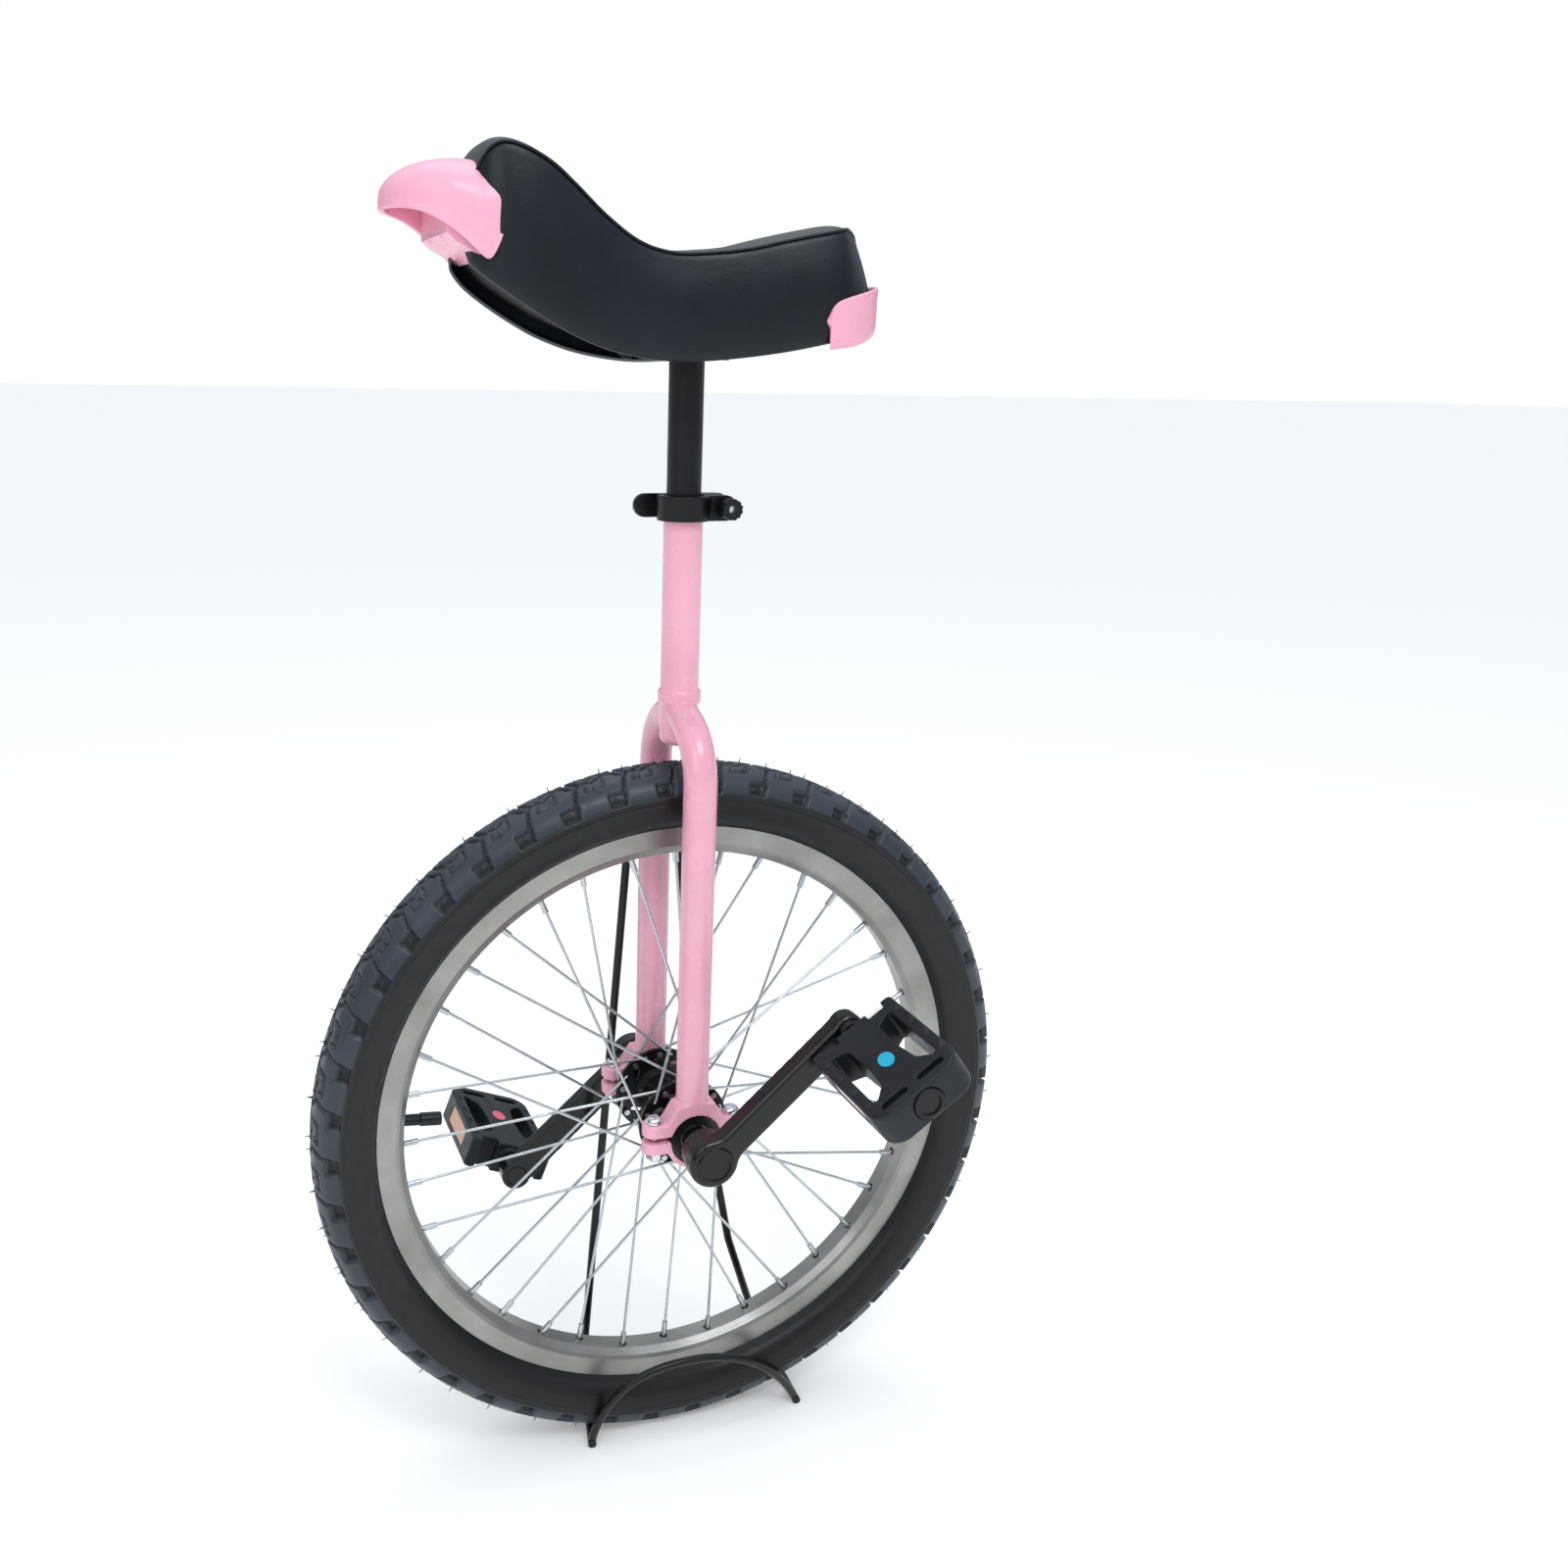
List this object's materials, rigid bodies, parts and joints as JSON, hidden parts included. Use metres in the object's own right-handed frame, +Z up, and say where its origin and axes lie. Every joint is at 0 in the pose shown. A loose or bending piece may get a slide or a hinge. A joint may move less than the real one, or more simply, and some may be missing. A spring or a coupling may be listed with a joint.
{
  "type": "unicycle",
  "caption": "Unicycle with a spoked wheel, round-crown fork, quick-release seat clamp, curved saddle with front handle and rear bumper, cranks and platform pedals, in a wire floor stand.",
  "frame": {"origin": "on the floor straight under the wheel axle, where the tyre stands", "axes": "+Z up, +X forward towards the saddle's front handle, +Y to the rider's left"},
  "size_m": [0.5022, 0.3942, 0.8763],
  "materials": {
    "frame_paint": "glossy pink paint over primer",
    "saddle_plastic": "semi-gloss moulded pink plastic",
    "vinyl": "satin black grained vinyl",
    "foam": "open-cell foam",
    "base_plastic": "black moulded plastic",
    "tyre_rubber": "black moulded rubber with side blocks",
    "tube_rubber": "butyl rubber",
    "rim_alloy": "satin grey rim",
    "spoke_steel": "bright zinc plate",
    "hub_black": "satin black paint",
    "crank_black": "glossy black paint",
    "bearing_steel": "ground steel",
    "seal_rubber": "black seal rubber",
    "bolt_zinc": "bright plated steel",
    "cap_plastic": "black moulded plastic",
    "pedal_plastic": "dark grey moulded plastic",
    "reflector_amber": "amber prismatic plastic",
    "badge_blue": "plain blue oval",
    "badge_red": "plain red oval",
    "clamp_black": "satin black anodising",
    "post_black": "glossy black paint",
    "wire_black": "black coated wire"
  },
  "bodies": {
    "stand": {"stand_low_hoop": "wire_black", "stand_tall_hoop": "wire_black", "stand_front_rail": "wire_black", "stand_rear_rail": "wire_black"},
    "frame": {"seat_tube": "frame_paint", "fork_leg_left": "frame_paint", "fork_leg_right": "frame_paint", "bearing_holder_left": "frame_paint", "bearing_holder_right": "frame_paint", "bearing_cap_left": "frame_paint", "bearing_cap_right": "frame_paint", "bearing_cap_bolts": "bolt_zinc", "bearing_cap_nuts": "bolt_zinc", "bearing_outer_races": "bearing_steel", "bearing_seals": "seal_rubber", "seat_clamp": "clamp_black", "quick_release_skewer": "bolt_zinc", "quick_release_nut": "clamp_black"},
    "lever": {"quick_release_lever": "clamp_black"},
    "seat": {"seatpost": "post_black", "seatpost_bracket": "post_black", "saddle_cover": "vinyl", "saddle_foam": "foam", "saddle_base": "base_plastic", "saddle_studs": "bolt_zinc", "saddle_nuts": "bolt_zinc", "front_handle": "saddle_plastic", "rear_bumper": "saddle_plastic", "handle_screws": "bolt_zinc", "rear_bumper_screws": "bolt_zinc"},
    "wheel": {"tyre": "tyre_rubber", "inner_tube": "tube_rubber", "rim": "rim_alloy", "rim_tape": "tube_rubber", "valve_stem": "seal_rubber", "valve_cap": "cap_plastic", "spokes_left": "spoke_steel", "spokes_right": "spoke_steel", "spoke_nipples": "spoke_steel", "hub_shell": "hub_black", "axle": "bearing_steel", "bearing_inner_races": "bearing_steel", "bearing_balls": "bearing_steel", "bearing_spacers": "hub_black", "crank_left": "crank_black", "crank_right": "crank_black", "crank_bolts": "bolt_zinc", "dust_caps": "cap_plastic", "pedal_spindle_left": "bolt_zinc", "pedal_spindle_right": "bolt_zinc"},
    "pedal_left": {"pedal_body_left": "pedal_plastic", "pedal_reflectors_left": "reflector_amber", "pedal_end_cap_left": "cap_plastic", "pedal_badge_left": "badge_blue"},
    "pedal_right": {"pedal_body_right": "pedal_plastic", "pedal_reflectors_right": "reflector_amber", "pedal_end_cap_right": "cap_plastic", "pedal_badge_right": "badge_red"}
  },
  "joints": [
    {"name": "lift_off_stand", "type": "slide", "parent": "stand", "child": "frame", "axis": [0, 0, 1], "range_m": [0, 0.09]},
    {"name": "wheel_spin", "type": "hinge", "parent": "frame", "child": "wheel", "pos_m": [0, 0, 0.251], "axis": [0, 1, 0], "continuous": true},
    {"name": "pedal_left_spin", "type": "hinge", "parent": "wheel", "child": "pedal_left", "pos_m": [-0.09289, 0.149, 0.33464], "axis": [0, 1, 0], "continuous": true},
    {"name": "pedal_right_spin", "type": "hinge", "parent": "wheel", "child": "pedal_right", "pos_m": [0.09289, -0.149, 0.16736], "axis": [0, 1, 0], "continuous": true},
    {"name": "seat_height", "type": "slide", "parent": "frame", "child": "seat", "axis": [0, 0, 1], "range_m": [-0.035, 0.06]},
    {"name": "quick_release", "type": "hinge", "parent": "frame", "child": "lever", "pos_m": [-0.026, -0.017, 0.6695], "axis": [0, 0, -1], "range_deg": [0, 160]}
  ]
}
